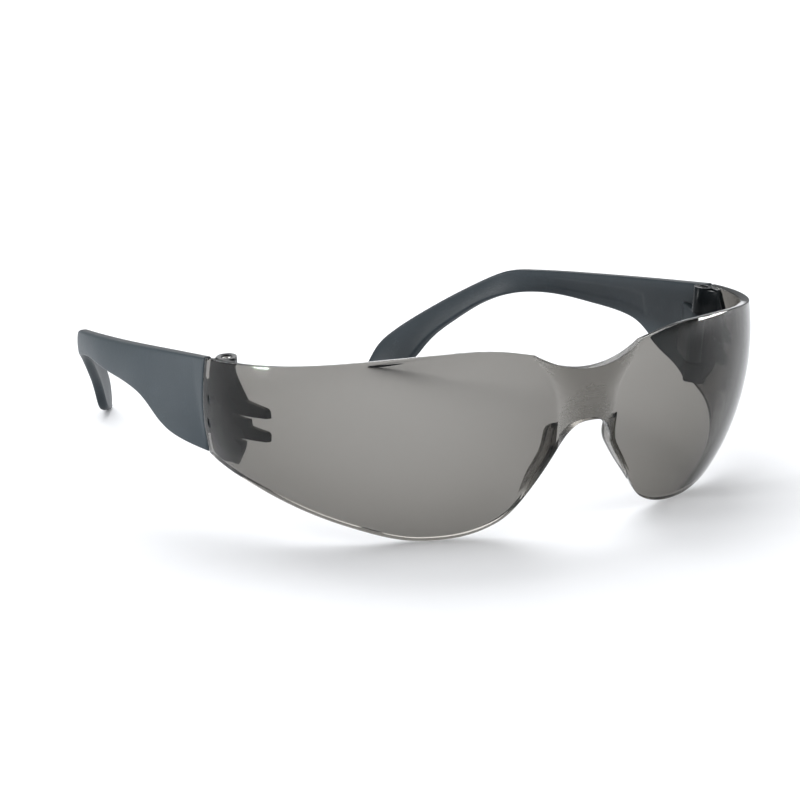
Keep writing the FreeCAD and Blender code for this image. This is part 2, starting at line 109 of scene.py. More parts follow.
def make_camera():
    turn, lift, roll = (math.radians(CAMERA[key]) for key in ("azimuth", "elevation", "roll"))
    back = Vector((math.sin(turn) * math.cos(lift), -math.cos(turn) * math.cos(lift), math.sin(lift)))
    right = Vector((math.cos(turn), math.sin(turn), 0))
    up = back.cross(right)
    rolled_right = math.cos(roll) * right + math.sin(roll) * up
    rolled_up = back.cross(rolled_right)
    spot = CAMERA["distance"] * back + CAMERA["aside"] * rolled_right + CAMERA["above"] * rolled_up
    data = bpy.data.cameras.new("camera")
    data.lens = CAMERA["focal"]
    data.sensor_width = CAMERA["sensor"]
    data.clip_start, data.clip_end = 0.01, 20.0
    camera = bpy.data.objects.new("camera", data)
    bpy.context.scene.collection.objects.link(camera)
    facing = Matrix((rolled_right, rolled_up, back)).transposed().to_4x4()
    camera.matrix_world = Matrix.Translation(placed(*spot)) @ facing
    return camera


bpy.context.scene.camera = make_camera()
print("camera at", [round(v, 3) for v in bpy.context.scene.camera.location])

# %% [markdown]
# ## Small tools for meshes
#
# A smooth curve through a few points (a natural cubic spline) describes every outline. Meshes
# are made from lists of points, and two operations that are easy to get wrong by hand, union
# and difference, are left to Blender's exact boolean.

# %% curves and mesh helpers
def curve_through(points):
    """Natural cubic spline through (place, value) points, level beyond its ends."""
    xs, ys = [p[0] for p in points], [p[1] for p in points]
    count = len(xs)
    bend, work = [0.0] * count, [0.0] * count
    for i in range(1, count - 1):
        ratio = (xs[i] - xs[i - 1]) / (xs[i + 1] - xs[i - 1])
        pivot = ratio * bend[i - 1] + 2
        bend[i] = (ratio - 1) / pivot
        rise = (ys[i + 1] - ys[i]) / (xs[i + 1] - xs[i]) - (ys[i] - ys[i - 1]) / (xs[i] - xs[i - 1])
        work[i] = (6 * rise / (xs[i + 1] - xs[i - 1]) - ratio * work[i - 1]) / pivot
    for i in range(count - 2, -1, -1):
        bend[i] = bend[i] * bend[i + 1] + work[i]

    def value_at(place):
        place = min(max(place, xs[0]), xs[-1])
        i = next((n for n in range(1, count) if place <= xs[n]), count - 1)
        span = xs[i] - xs[i - 1]
        before, after = (xs[i] - place) / span, (place - xs[i - 1]) / span
        swing = (before ** 3 - before) * bend[i - 1] + (after ** 3 - after) * bend[i]
        return before * ys[i - 1] + after * ys[i] + swing * span ** 2 / 6

    return value_at


def steps(count, low=0.0, high=1.0):
    return [low + (high - low) * i / count for i in range(count + 1)]


def mesh_object(name, points, faces, merge=0.0005):
    """A mesh from points in metres; faces are lists of point numbers."""
    data = bpy.data.meshes.new(name)
    data.from_pydata([tuple(p) for p in points], [], faces)
    work = bmesh.new()
    work.from_mesh(data)
    bmesh.ops.remove_doubles(work, verts=work.verts, dist=merge * MM)
    bmesh.ops.dissolve_degenerate(work, edges=work.edges, dist=merge * MM)
    bmesh.ops.recalc_face_normals(work, faces=work.faces)
    work.to_mesh(data)
    work.free()
    thing = bpy.data.objects.new(name, data)
    bpy.context.scene.collection.objects.link(thing)
    return thing


def grid_faces(rows, columns, first=0, close=False):
    """Quads over a grid of points that are numbered row after row."""
    faces = []
    for row in range(rows - 1):
        for column in range(columns if close else columns - 1):
            a, b = first + row * columns + column, first + row * columns + (column + 1) % columns
            faces.append([a, b, b + columns, a + columns])
    return faces


def modifiers_applied(thing):
    """Bakes the live modifiers into the mesh."""
    graph = bpy.context.evaluated_depsgraph_get()
    data = bpy.data.meshes.new_from_object(thing.evaluated_get(graph))
    thing.modifiers.clear()
    old = thing.data
    thing.data = data
    bpy.data.meshes.remove(old)
    return thing


def combined(thing, tools, operation):
    """Exact boolean with each tool; the tools are used up."""
    for tool in tools:
        step = thing.modifiers.new("bool", "BOOLEAN")
        step.operation = operation
        step.solver = "EXACT"
        step.object = tool
        modifiers_applied(thing)
        bpy.data.objects.remove(tool)
    return thing


def bevelled(thing, width, segments=3, angle=50):
    step = thing.modifiers.new("bevel", "BEVEL")
    step.width = width * MM
    step.segments = segments
    step.limit_method = "ANGLE"
    step.angle_limit = math.radians(angle)
    step.use_clamp_overlap = True
    return modifiers_applied(thing)


def smoothed(thing, angle=30):
    """Smooth shading, with a crisp edge wherever the surface turns by more than the angle."""
    for face in thing.data.polygons:
        face.use_smooth = True
    thing.data.set_sharp_from_angle(angle=math.radians(angle))
    return thing


def tell(thing):
    work = bmesh.new()
    work.from_mesh(thing.data)
    open_edges = sum(1 for edge in work.edges if not edge.is_manifold)
    print("%s: %d faces, %d open edges, %.0f mm3" % (
        thing.name, len(work.faces), open_edges, work.calc_volume() / MM ** 3))
    work.free()


# %% [markdown]
# ## Node tools
#
# A node tree is easier to read as a formula, so these helpers add one node and hand back its
# output. They serve both the Geometry Nodes that bend the lens and the shader groups.

# %% node helpers
def add_node(tree, kind, settings=None, **inputs):
    """Adds a node; settings are its properties and inputs are values or sockets by name."""
    node = tree.nodes.new(kind)
    for key, value in (settings or {}).items():
        setattr(node, key, value)
    for key, value in inputs.items():
        feed(tree, node.inputs[key.replace("_", " ")], value)
    return node


def feed(tree, socket, value):
    if isinstance(value, bpy.types.NodeSocket):
        tree.links.new(value, socket)
    else:
        socket.default_value = value


def maths(tree, operation, *values):
    node = tree.nodes.new("ShaderNodeMath")
    node.operation = operation
    for socket, value in zip(node.inputs, values):
        feed(tree, socket, value)
    return node.outputs[0]


def new_group(name, kind, inputs, outputs):
    """A node group with named sockets: (name, type, default) in, (name, type) out."""
    tree = bpy.data.node_groups.new(name, kind)
    for label, socket_type, default in inputs:
        socket = tree.interface.new_socket(label, in_out="INPUT", socket_type=socket_type)
        if default is not None:
            socket.default_value = default
    for label, socket_type in outputs:
        tree.interface.new_socket(label, in_out="OUTPUT", socket_type=socket_type)
    return tree, tree.nodes.new("NodeGroupInput").outputs, tree.nodes.new("NodeGroupOutput").inputs


def through_nodes(thing, tree, material=None, **values):
    """Runs a mesh through a geometry tree and keeps the result as a plain mesh."""
    step = thing.modifiers.new("nodes", "NODES")
    step.node_group = tree
    for item in tree.interface.items_tree:
        if item.in_out == "INPUT" and item.name in values:
            step[item.identifier] = values[item.name]
        if item.in_out == "INPUT" and item.name == "Material" and material:
            step[item.identifier] = material
    return modifiers_applied(thing)


# %% [markdown]
# ## Shared finish: fine grain
#
# Moulded plastic is never mirror smooth. The mould's spark-eroded skin leaves a fine stipple that
# catches light softly, and slow flow variation shifts the gloss. One group makes both for every
# plastic here, with its own scale and strength in each.

# %% shader group for moulded skin
def make_grain_group():
    tree, given, result = new_group(
        "moulded_skin", "ShaderNodeTree",
        [("Grain Size", "NodeSocketFloat", 0.25), ("Flow Size", "NodeSocketFloat", 9.0),
         ("Roughness", "NodeSocketFloat", 0.4), ("Variation", "NodeSocketFloat", 0.08)],
        [("Height", "NodeSocketFloat"), ("Roughness", "NodeSocketFloat"), ("Cloud", "NodeSocketFloat")])
    place = add_node(tree, "ShaderNodeTexCoord").outputs["Object"]
    grain_scale = maths(tree, "DIVIDE", 1 / MM, given["Grain Size"])
    flow_scale = maths(tree, "DIVIDE", 1 / MM, given["Flow Size"])
    grain = add_node(tree, "ShaderNodeTexNoise", Vector=place, Scale=grain_scale, Detail=2.0)
    flow = add_node(tree, "ShaderNodeTexNoise", Vector=place, Scale=flow_scale, Detail=3.0)
    swing = maths(tree, "SUBTRACT", flow.outputs["Fac"], 0.5)
    rough = maths(tree, "MULTIPLY_ADD", swing, given["Variation"], given["Roughness"])
    fine = maths(tree, "SUBTRACT", grain.outputs["Fac"], 0.5)
    rough = maths(tree, "MULTIPLY_ADD", fine, given["Variation"], rough)
    tree.links.new(grain.outputs["Fac"], result["Height"])
    tree.links.new(rough, result["Roughness"])
    tree.links.new(flow.outputs["Fac"], result["Cloud"])
    return tree


def make_scuff_group():
    """Faint hairline marks of handling: thin bands of stretched noise, in two directions."""
    tree, given, result = new_group(
        "handling_marks", "ShaderNodeTree",
        [("Spacing", "NodeSocketFloat", 6.0), ("Amount", "NodeSocketFloat", 0.5)],
        [("Mask", "NodeSocketFloat")])
    place = add_node(tree, "ShaderNodeTexCoord").outputs["Object"]
    masks = []
    for turn, stretch in ((0.5, 9.0), (-0.9, 14.0)):
        turned = add_node(tree, "ShaderNodeMapping", Vector=place, Rotation=(turn, turn * 0.7, turn))
        turned.inputs["Scale"].default_value = (1.0, stretch, stretch)
        scale = maths(tree, "DIVIDE", 1 / MM / stretch * 2, given["Spacing"])
        noise = add_node(tree, "ShaderNodeTexNoise", Vector=turned.outputs[0], Scale=scale, Detail=4.0)
        near = maths(tree, "ABSOLUTE", maths(tree, "SUBTRACT", noise.outputs["Fac"], 0.5))
        line = maths(tree, "SUBTRACT", 1.0, maths(tree, "MULTIPLY", near, 60.0))
        masks.append(maths(tree, "MAXIMUM", line, 0.0))
    both = maths(tree, "MAXIMUM", masks[0], masks[1])
    patches = add_node(tree, "ShaderNodeTexNoise", Vector=place, Scale=1 / (14 * MM), Detail=2.0)
    kept = maths(tree, "GREATER_THAN", patches.outputs["Fac"], 0.53)
    masked = maths(tree, "MULTIPLY", maths(tree, "MULTIPLY", both, kept), given["Amount"])
    tree.links.new(masked, result["Mask"])
    return tree


skin_group = make_grain_group()
scuff_group = make_scuff_group()
print("shader groups:", skin_group.name, scuff_group.name)

# %% [markdown]
# ## The plastics and the steel
#
# The arms are a blue-black nylon with a satin skin; the hinge blocks are the same nylon, darker
# and glossier; the screws are plated steel. Faint hairline handling marks, scattered in patches,
# show slightly lighter on the nylon.

# %% opaque materials
def start_material(name):
    material = bpy.data.materials.new(name)
    material.use_nodes = True
    tree = material.node_tree
    return material, tree, tree.nodes["Principled BSDF"], tree.nodes["Material Output"]


def group_node(tree, group, **values):
    node = tree.nodes.new("ShaderNodeGroup")
    node.node_tree = group
    for key, value in values.items():
        feed(tree, node.inputs[key.replace("_", " ")], value)
    return node


def moulded_plastic(name, dark, light, rough, grain, bump, shine, variation=0.12):
    """Satin nylon: the colour drifts between two near tones, the grain feeds gloss and bump."""
    material, tree, shader, _ = start_material(name)
    skin = group_node(tree, skin_group, Grain_Size=grain, Roughness=rough, Variation=variation)
    marks = group_node(tree, scuff_group, Spacing=5.0, Amount=0.35)
    colour = add_node(tree, "ShaderNodeMix", {"data_type": "RGBA"})
    feed(tree, colour.inputs[0], skin.outputs["Cloud"])
    colour.inputs[6].default_value = (*dark, 1)
    colour.inputs[7].default_value = (*light, 1)
    rubbed = add_node(tree, "ShaderNodeMix", {"data_type": "RGBA"})
    feed(tree, rubbed.inputs[0], maths(tree, "MULTIPLY", marks.outputs["Mask"], 0.25))
    feed(tree, rubbed.inputs[6], colour.outputs[2])
    rubbed.inputs[7].default_value = (*[3 * v for v in light], 1)
    tree.links.new(rubbed.outputs[2], shader.inputs["Base Color"])
    tree.links.new(skin.outputs["Roughness"], shader.inputs["Roughness"])
    shader.inputs["IOR"].default_value = 1.5
    shader.inputs["Specular IOR Level"].default_value = shine
    relief = add_node(tree, "ShaderNodeBump", Strength=bump, Distance=0.04 * MM)
    tree.links.new(skin.outputs["Height"], relief.inputs["Height"])
    tree.links.new(relief.outputs[0], shader.inputs["Normal"])
    return material


temple_plastic = moulded_plastic(
    "temple_plastic", dark=(0.018, 0.024, 0.028), light=(0.026, 0.033, 0.039),
    rough=0.42, grain=0.34, bump=1.0, shine=0.12)
block_plastic = moulded_plastic(
    "block_plastic", dark=(0.006, 0.008, 0.009), light=(0.009, 0.011, 0.013),
    rough=0.24, grain=0.4, bump=0.12, shine=0.1)


def plated_steel():
    material, tree, shader, _ = start_material("plated_steel")
    skin = group_node(tree, skin_group, Grain_Size=0.12, Flow_Size=1.5, Roughness=0.24, Variation=0.18)
    shader.inputs["Metallic"].default_value = 1.0
    tint = add_node(tree, "ShaderNodeMix", {"data_type": "RGBA"})
    feed(tree, tint.inputs[0], skin.outputs["Cloud"])
    tint.inputs[6].default_value = (0.50, 0.49, 0.47, 1)
    tint.inputs[7].default_value = (0.72, 0.72, 0.71, 1)
    tree.links.new(tint.outputs[2], shader.inputs["Base Color"])
    tree.links.new(skin.outputs["Roughness"], shader.inputs["Roughness"])
    return material


screw_steel = plated_steel()
print("opaque materials:", temple_plastic.name, block_plastic.name, screw_steel.name)

# %% [markdown]
# ## Smoke polycarbonate
#
# The lens is clear plastic dyed through, so its darkness grows with the thickness that light
# crosses: the edges and the flanges, seen along the wall, are much darker than the panes. A
# volume that absorbs gives exactly that. The bridge is moulded matt: a mask that follows the two
# creases, which spread towards the top, makes it rougher there and adds a fine grain. The panes
# have an anti-glare coat, so they mirror less than bare polycarbonate: a low index stands for it.

# %% lens material
SMOKE_TINT = (0.9642, 0.9632, 0.9614)
SMOKE_DENSITY = 16800.0
LENS_IOR = 1.30
# half width of the matt bridge: even up to a height, then spreading as a power of the rise
MATT = {"half_width": 7.4, "even_to": 31.0, "spread": 0.175, "power": 1.5, "soft": 0.15, "rough": 0.26}


def smoke_polycarbonate():
    material, tree, shader, output = start_material("smoke_polycarbonate")
    shader.inputs["Base Color"].default_value = (1, 1, 1, 1)
    shader.inputs["Transmission Weight"].default_value = 1.0
    shader.inputs["IOR"].default_value = LENS_IOR
    place = add_node(tree, "ShaderNodeTexCoord").outputs["Object"]
    parts = add_node(tree, "ShaderNodeSeparateXYZ", Vector=place)
    sideways = maths(tree, "ABSOLUTE", parts.outputs["X"])
    lift = maths(tree, "MULTIPLY_ADD", parts.outputs["Z"], 1 / MM, -MATT["even_to"])
    spread = maths(tree, "POWER", maths(tree, "MAXIMUM", lift, 0.0), MATT["power"])
    half_width = maths(tree, "MULTIPLY_ADD", spread, MATT["spread"] * MM, MATT["half_width"] * MM)
    matt = add_node(tree, "ShaderNodeMapRange")
    matt.inputs["From Min"].default_value = MATT["soft"] * MM
    matt.inputs["From Max"].default_value = -MATT["soft"] * MM
    feed(tree, matt.inputs["Value"], maths(tree, "SUBTRACT", sideways, half_width))
    marks = group_node(tree, scuff_group, Spacing=4.0, Amount=0.03)
    rough = maths(tree, "MULTIPLY_ADD", matt.outputs[0], MATT["rough"], marks.outputs["Mask"])
    tree.links.new(rough, shader.inputs["Roughness"])
    skin = group_node(tree, skin_group, Grain_Size=0.3, Roughness=0.2, Variation=0.1)
    relief = add_node(tree, "ShaderNodeBump", Strength=0.5, Distance=0.03 * MM)
    feed(tree, relief.inputs["Height"], maths(tree, "MULTIPLY", skin.outputs["Height"], matt.outputs[0]))
    tree.links.new(relief.outputs[0], shader.inputs["Normal"])
    smoke = add_node(tree, "ShaderNodeVolumeAbsorption", Color=(*SMOKE_TINT, 1), Density=SMOKE_DENSITY)
    tree.links.new(smoke.outputs[0], output.inputs["Volume"])
    return material


smoke = smoke_polycarbonate()
print("lens material:", smoke.name)

# %% [markdown]
# ## The lens: a flat pattern bent on a barrel
#
# Each eye's pane is part of a barrel: round in plan, gently round upright. In the factory the
# mould has that barrel. Here the pane is first drawn flat, as angle across and height up, with
# its thickness as the third number, and Geometry Nodes bend that pattern on the barrel. The same
# bend, written as a plain function, places the other pieces that hug the lens.

# %% sizes of the lens
LENS_WALL = 2.2
BARREL = {"Plan Radius": 55.1, "Tall Radius": 62.9, "Eye Centre": 16.3, "Eye Back": 2.25, "Eye Height": 36.7}
REAR_LOW_ANGLE, REAR_TOP_ANGLE, REAR_BOW = 94.0, 87.3, 1.5
CREASE_LOW, CREASE_TOP = 20.2, 43.5
ARCH_HEIGHT, SADDLE_HEIGHT = 26.7, 39.0
BRIDGE_FRONT, BRIDGE_SWEEP, BRIDGE_WALL, BRIDGE_POWER = 54.0, 0.8, 3.0, 2.6

lower_edge = curve_through([
    (0, 20.2), (0.068, 9.8), (0.102, 5.6), (0.146, 2.8), (0.205, 1.0), (0.307, 0), (0.412, 0.5),
    (0.513, 2.7), (0.618, 5.5), (0.722, 8.7), (0.824, 12.0), (0.926, 14.8), (1, 16.8)])
upper_edge = curve_through([(0, 43.5), (0.1, 45.3), (0.2, 45.8), (0.4, 45.0), (0.7, 42.5), (1, 41)])
crease_width = curve_through([(20.2, 7.3), (28, 7.5), (34, 8.5), (40.3, 12.5), (43.5, 14.4)])


def barrel_tree():
    """Geometry Nodes: x is an angle in degrees, y a height and z a depth, all bent on the barrel."""
    names = ("Plan Radius", "Tall Radius", "Eye Centre", "Eye Back", "Eye Height", "Hinge Line")
    inputs = [("Geometry", "NodeSocketGeometry", None)]
    inputs += [(name, "NodeSocketFloat", 0.0) for name in names] + [("Material", "NodeSocketMaterial", None)]
    tree, given, result = new_group(
        "bend_on_barrel", "GeometryNodeTree", inputs, [("Geometry", "NodeSocketGeometry")])
    position = add_node(tree, "GeometryNodeInputPosition").outputs[0]
    flat = add_node(tree, "ShaderNodeSeparateXYZ", Vector=position)
    angle, height, depth = flat.outputs
    turn = maths(tree, "RADIANS", angle)
    rise = maths(tree, "SUBTRACT", height, given["Eye Height"])
    tall = given["Tall Radius"]
    squares = [maths(tree, "POWER", value, 2.0) for value in (tall, rise)]
    inner = maths(tree, "SQRT", maths(tree, "SUBTRACT", *squares))
    drop = maths(tree, "SUBTRACT", tall, inner)
    radius = maths(tree, "SUBTRACT", given["Plan Radius"], drop)
    outward, upward = maths(tree, "DIVIDE", inner, tall), maths(tree, "DIVIDE", rise, tall)
    reach = maths(tree, "SUBTRACT", radius, maths(tree, "MULTIPLY", depth, outward))
    x = maths(tree, "MULTIPLY_ADD", reach, maths(tree, "SINE", turn), given["Eye Centre"])
    forward = maths(tree, "MULTIPLY", reach, maths(tree, "COSINE", turn))
    y = maths(tree, "SUBTRACT", given["Eye Back"], forward)
    z = maths(tree, "SUBTRACT", height, maths(tree, "MULTIPLY", depth, upward))
    metres = [maths(tree, "MULTIPLY", value, MM) for value in (x, y, z)]
    metres[1] = maths(tree, "ADD", metres[1], given["Hinge Line"])
    bent = add_node(tree, "ShaderNodeCombineXYZ", X=metres[0], Y=metres[1], Z=metres[2])
    moved = add_node(tree, "GeometryNodeSetPosition", Geometry=given["Geometry"], Position=bent.outputs[0])
    real = add_node(tree, "GeometryNodeRealizeInstances", Geometry=moved.outputs[0])
    painted = add_node(tree, "GeometryNodeSetMaterial", Geometry=real.outputs[0], Material=given["Material"])
    tree.links.new(painted.outputs[0], result["Geometry"])
    return tree


bend_on_barrel = barrel_tree()


def barrel_point(angle, height, depth):
    """The same bend for single points, in millimetres."""
    rise, tall = height - BARREL["Eye Height"], BARREL["Tall Radius"]
    inner = math.sqrt(tall ** 2 - rise ** 2)
    reach = BARREL["Plan Radius"] - (tall - inner) - depth * inner / tall
    turn = math.radians(angle)
    return (BARREL["Eye Centre"] + reach * math.sin(turn), BARREL["Eye Back"] - reach * math.cos(turn),
            height - depth * rise / tall)


def crease_angle(height):
    rise, tall = height - BARREL["Eye Height"], BARREL["Tall Radius"]
    radius = BARREL["Plan Radius"] - tall + math.sqrt(tall ** 2 - rise ** 2)
    return math.degrees(math.asin((crease_width(height) - BARREL["Eye Centre"]) / radius))


def rear_angle(rise):
    return REAR_LOW_ANGLE + (REAR_TOP_ANGLE - REAR_LOW_ANGLE) * rise - REAR_BOW * rise * (1 - rise)


def side_height(rise):
    return CREASE_LOW + rise * (CREASE_TOP - CREASE_LOW)


# %% [markdown]
# ### One closed wall from crease to crease
#
# Each pane is a stack of loops: up the outside, down the inside. The bridge is a third stack
# between the two creases, where the wall swells forward and its top sags into a saddle. The
# borders have the same points, so the three stacks weld into one closed wall, and a bevel
# rounds its rims as flame polishing does.

# %% the wall of the lens
ACROSS, UPRIGHT, BRIDGE_STEPS = 120, 48, 48
RIM_ROUND = 0.5


def section(place_of):
    """A loop through the wall: up the outer face, down the inner one."""
    outer = [place_of(rise, 0.0) for rise in steps(UPRIGHT)]
    inner = [place_of(rise, LENS_WALL) for rise in steps(UPRIGHT, 1.0, 0.0)]
    return outer + inner


def pane_loops():
    """Loops of (angle, height, depth) from the crease to the rear edge."""
    loops = []
    for share in steps(ACROSS):
        low, top = lower_edge(share), upper_edge(share)

        def place_of(rise, deep):
            start = crease_angle(side_height(rise))
            return (start + share * (rear_angle(rise) - start), low + rise * (top - low), deep)

        loops.append(section(place_of))
    return loops


def bridge_loops():
    """Loops of (x, y, z) from the right crease to the left one."""
    loops = []
    for place in steps(BRIDGE_STEPS, -1.0, 1.0):
        swell = 1 - abs(place) ** BRIDGE_POWER
        arch = ARCH_HEIGHT - (ARCH_HEIGHT - CREASE_LOW) * abs(place) ** 3
        saddle = SADDLE_HEIGHT + (CREASE_TOP - SADDLE_HEIGHT) * place ** 2

        def place_of(rise, deep):
            height = side_height(rise)
            x, y, z = barrel_point(crease_angle(height), height, deep)
            front = -BRIDGE_FRONT + BRIDGE_SWEEP * (1 - rise) + BRIDGE_WALL * deep / LENS_WALL
            up = arch + rise * (saddle - arch) + (z - height) * (1 - swell)
            return placed(place * x, y + (front - y) * swell, up)

        loops.append(section(place_of))
    return loops


def loops_mesh(name, loops, start_cap=False, end_cap=False):
    """A tube of loops; a cap joins the two faces of the wall with quads."""
    size = len(loops[0])
    points = [point for loop in loops for point in loop]
    faces = grid_faces(len(loops), size, close=True)
    for wanted, first in ((start_cap, 0), (end_cap, len(points) - size)):
        if wanted:
            faces += [[first + i, first + i + 1, first + size - 2 - i, first + size - 1 - i]
                      for i in range(size // 2 - 1)]
    return mesh_object(name, points, faces)


def mirrored_x(thing):
    """Turns a left piece into a right one; the faces are turned back outwards."""
    thing.data.transform(Matrix.Diagonal((-1, 1, 1, 1)))
    thing.data.flip_normals()
    return thing


def joined(name, things):
    """Welds several open pieces into one closed mesh."""
    work = bmesh.new()
    for thing in things:
        work.from_mesh(thing.data)
        bpy.data.objects.remove(thing)
    bmesh.ops.remove_doubles(work, verts=work.verts, dist=0.003 * MM)
    bmesh.ops.recalc_face_normals(work, faces=work.faces)
    data = bpy.data.meshes.new(name)
    work.to_mesh(data)
    work.free()
    whole = bpy.data.objects.new(name, data)
    bpy.context.scene.collection.objects.link(whole)
    return whole


def bent_pane(name):
    flat = loops_mesh(name, pane_loops(), end_cap=True)
    return through_nodes(flat, bend_on_barrel, smoke, **{**BARREL, "Hinge Line": hinge_line})


lens = joined("lens_shell", [
    bent_pane("pane_left"), mirrored_x(bent_pane("pane_right")),
    loops_mesh("bridge", bridge_loops())])
lens.data.materials.clear()
lens.data.materials.append(smoke)
bevelled(lens, RIM_ROUND, segments=4, angle=55)
tell(lens)

# %% [markdown]
# ### Nose flanges and windows
#
# Two curved fins grow from the back of the nose cut-out and carry the glasses on the nose. They
# are the same plastic as the lens, so they are welded on. Each side of the lens also has two
# small windows, where the hinge block's lugs snap in.

# %% flanges and windows
FLANGE_TOP, FLANGE_LOW = 26.9, 8.9
FLANGE_WALL, FLANGE_FLARE = 1.8, 0.1
LUG_WIDE, LUG_TALL, LUG_PLAY = 1.0, 2.0, 0.1
LUGS = [(31.4, -1.2), (25.4, 0.8)]
nose_edge = curve_through([(8.9, 14.5), (13.7, 11.4), (17.4, 9.0), (20.2, 7.5), (23.8, 7.1), (27.7, 7.2)])
flange_reach = curve_through([
    (8.9, 0.3), (11.5, 1.8), (14.7, 3.3), (18.0, 3.7), (22.3, 3.8), (24.6, 3.4), (26.1, 2.2), (26.9, 0.6)])


def flange(name, side):
    """A fin behind the nose edge: each loop runs out along one face and back along the other."""
    loops = []
    for share in steps(30):
        height = FLANGE_TOP + share * (FLANGE_LOW - FLANGE_TOP)
        x = nose_edge(height)
        rise, tall = height - BARREL["Eye Height"], BARREL["Tall Radius"]
        radius = BARREL["Plan Radius"] - tall + math.sqrt(tall ** 2 - rise ** 2)
        y = BARREL["Eye Back"] - math.sqrt(radius ** 2 - (x - BARREL["Eye Centre"]) ** 2) + LENS_WALL / 2
        depth = flange_reach(height)
        spread = FLANGE_FLARE * depth
        out = [(x + spread * part, y + depth * part, height) for part in steps(8)]
        back = [(px + FLANGE_WALL, py, pz) for px, py, pz in reversed(out)]
        loops.append([placed(side * px, py, pz) for px, py, pz in out + back])
    fin = loops_mesh(name, loops, start_cap=True, end_cap=True)
    fin.data.materials.append(smoke)
    return bevelled(fin, 0.45, segments=4, angle=55)


def box_between(name, low, high):
    corners = [(x, y, z) for x in (low[0], high[0]) for y in (low[1], high[1]) for z in (low[2], high[2])]
    faces = [[0, 1, 3, 2], [4, 6, 7, 5], [0, 4, 5, 1], [2, 3, 7, 6], [0, 2, 6, 4], [1, 5, 7, 3]]
    return mesh_object(name, [placed(*corner) for corner in corners], faces)


def window(name, side, height, back):
    outer = barrel_point(90, height, 0)[0]
    half_wide, half_tall = LUG_WIDE / 2 + LUG_PLAY, LUG_TALL / 2 + LUG_PLAY
    ends = sorted((side * (outer + 1.0), side * (outer - 3.2)))
    return box_between(name, (ends[0], back - half_wide, height - half_tall),
                       (ends[1], back + half_wide, height + half_tall))


def creased(thing):
    """Marks the outer line beside the bridge, so that it stays crisp from end to end."""
    work = bmesh.new()
    work.from_mesh(thing.data)
    front = placed(0, -35, 0).y

    def on_crease(vert):
        height = vert.co.z / MM
        aside = abs(abs(vert.co.x / MM) - crease_width(height))
        return vert.co.y < front and CREASE_LOW < height < CREASE_TOP and aside < 0.02

    marked = [edge for edge in work.edges if all(on_crease(vert) for vert in edge.verts)]
    for edge in marked:
        edge.smooth = False
    work.to_mesh(thing.data)
    work.free()
    print("crease edges kept sharp:", len(marked))


combined(lens, [flange("flange_left", 1), flange("flange_right", -1)], "UNION")
combined(lens, [window("window", side, *lug) for side in (1, -1) for lug in LUGS], "DIFFERENCE")
smoothed(lens, angle=24)
creased(lens)
tell(lens)
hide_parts("lens")
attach(lens, "front")

# %% [markdown]
# ## The arms
#
# An arm is a deep flat blade. Its upper and lower edges are smooth curves in plan and in the side
# view. In front the lower edge bulges outwards; behind the ear both edges share one plan curve,
# and the blade turns inwards and down to a rounded tip. Each section is a rounded loop between
# the two edges; the front loops follow the rear edge of the lens.

# %% outlines of an arm
TEMPLE_WALL, EDGE_ROUND, SEAM_GAP = 2.3, 0.75, 0.35
CROWN, FRONT_CROWN, CROWN_FADE = 0.35, 1.2, 14.0
HOOK_PLAN = [(96, 60.9), (104, 56.0), (112, 50.9), (120, 45.8), (127, 41.9)]
upper_plan = curve_through([
    (0, 71.3), (24, 70.9), (48, 70.1), (64, 68.9), (80, 66.9), (88, 65.0)] + HOOK_PLAN)
lower_plan = curve_through([
    (6, 68.2), (14, 70.8), (24, 72.2), (36, 72.6), (48, 72.0), (64, 70.5), (76, 68.2),
    (88, 65.0)] + HOOK_PLAN)
blade_top = curve_through([
    (0, 41.2), (24, 38.8), (48, 36.3), (72, 33.8), (80, 32.9), (88, 31.4), (96, 27.5), (104, 22.6),
    (112, 17.1), (120, 10.8), (124, 6.3), (126, 2.8), (127, 1.0)])
blade_low = curve_through([
    (6, 16.9), (16, 18.7), (24, 20.9), (32, 24.9), (40, 26.7), (56, 27.3), (72, 27.4), (80, 26.6),
    (88, 24.9), (96, 21.4), (104, 15.5), (112, 7.5), (114.5, 4.1), (117, 2.2), (120, 1.2), (124, 0.3),
    (127, 0)])


def blade_outside(y, rise):
    crown = CROWN + (FRONT_CROWN - CROWN) * math.exp(-y / CROWN_FADE)
    level = lower_plan(y) + rise * (upper_plan(y) - lower_plan(y))
    return level + 4 * crown * rise * (1 - rise)


def seam(rise):
    """Front edge of the blade: it follows the rear edge of the lens with a fine gap."""
    height = blade_low(0) + rise * (blade_top(0) - blade_low(0))
    return barrel_point(rear_angle(rise), height, 0)[1] + SEAM_GAP


def rounded_section(tall, inset):
    """(share of the height, depth) round a section whose corners are arcs."""
    radius = min(EDGE_ROUND, 0.46 * tall, 0.46 * TEMPLE_WALL)
    inset = min(inset, 0.9 * radius)
    corner = radius - inset
    low, high = radius, tall - radius
    near, far = radius, TEMPLE_WALL - radius
    loop = [(up, inset) for up in steps(22, low, high)]
    for turn in steps(6, 0, math.pi / 2)[1:]:
        loop.append((high + corner * math.sin(turn), near - corner * math.cos(turn)))
    for turn in steps(6, 0, math.pi / 2):
        loop.append((high + corner * math.cos(turn), far + corner * math.sin(turn)))
    loop += [(up, TEMPLE_WALL - inset) for up in steps(22, high, low)[1:]]
    for turn in steps(6, 0, math.pi / 2)[1:]:
        loop.append((low - corner * math.sin(turn), far + corner * math.cos(turn)))
    for turn in steps(6, 0, math.pi / 2)[:-1]:
        loop.append((low - corner * math.cos(turn), near - corner * math.sin(turn)))
    return [(max(up, 0) / tall, deep) for up, deep in loop]


# %% [markdown]
# ### Panel on the inner face
#
# The inside of each arm carries a shallow sunk panel, where a maker would put the size. It stays
# blank here. A smooth step in the depth of the inner face makes it.

# %% the blade
PANEL = {"front": 29.0, "rear": 72.0, "low": 0.28, "high": 0.72, "deep": 0.12, "soft": 0.8}


